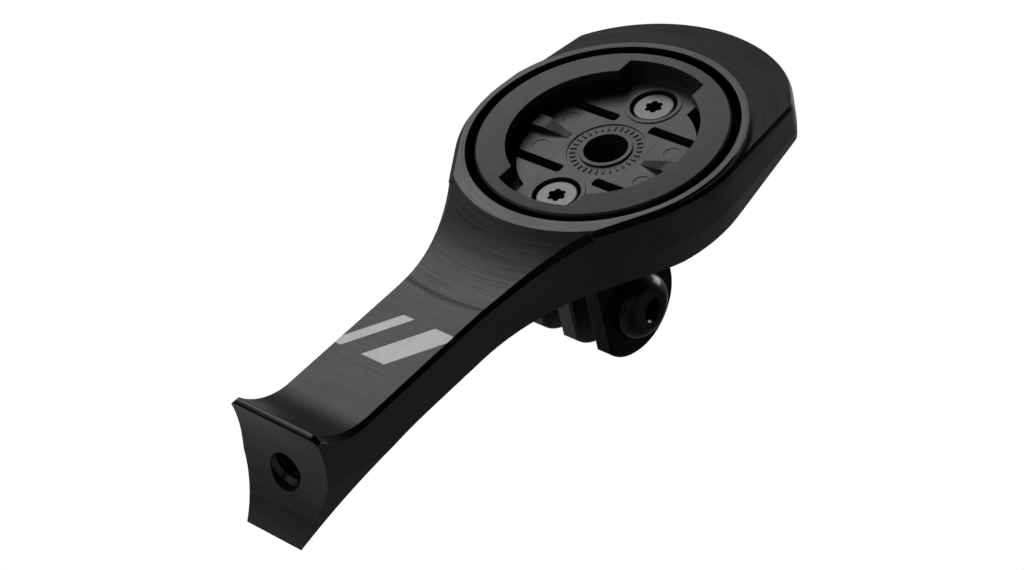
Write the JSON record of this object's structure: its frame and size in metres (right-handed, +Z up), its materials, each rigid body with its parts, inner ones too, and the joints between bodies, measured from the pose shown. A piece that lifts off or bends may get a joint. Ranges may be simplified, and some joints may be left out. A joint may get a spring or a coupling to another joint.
{
  "type": "cycling computer mount",
  "caption": "Out-front arm with a concave foot, a round quarter-turn socket for a handlebar computer and a pronged camera bracket with a pinch bolt below it.",
  "frame": {"origin": "on the axis of the threaded hole in the foot's concave face, where the full thread starts", "axes": "+Y from the foot along the arm to the head and away from the rider, +Z up out of the socket's open face, +X to the right, the side of the pinch bolt's head"},
  "size_m": [0.0402, 0.0966, 0.0308],
  "materials": {
    "black_anodised": "satin black anodised aluminium with fine milling lines",
    "black_plastic": "satin moulded plastic",
    "screw_steel": "plain stainless steel",
    "adapter_black": "satin black anodised aluminium",
    "bolt_black": "satin black oxide steel"
  },
  "bodies": {
    "mount": {"mount_body": "black_anodised", "quarter_turn_insert": "black_plastic", "insert_screws": "screw_steel", "camera_adapter": "adapter_black"},
    "left_tongue": {"left_detent_tongue": "black_plastic"},
    "right_tongue": {"right_detent_tongue": "black_plastic"},
    "bolt": {"pinch_bolt": "bolt_black"}
  },
  "joints": [
    {"name": "left_tongue_flex", "type": "hinge", "parent": "mount", "child": "left_tongue", "pos_m": [-0.0056, 0.06355, 0.00315], "axis": [0, -1, 0], "range_deg": [0, 9], "stiffness_Nm_per_rad": 1.9},
    {"name": "right_tongue_flex", "type": "hinge", "parent": "mount", "child": "right_tongue", "pos_m": [0.0056, 0.06355, 0.00315], "axis": [0, 1, 0], "range_deg": [0, 9], "stiffness_Nm_per_rad": 1.9},
    {"name": "pinch_bolt_turn", "type": "hinge", "parent": "mount", "child": "bolt", "pos_m": [0, 0.05619, -0.01481], "axis": [1, 0, 0], "continuous": true}
  ]
}
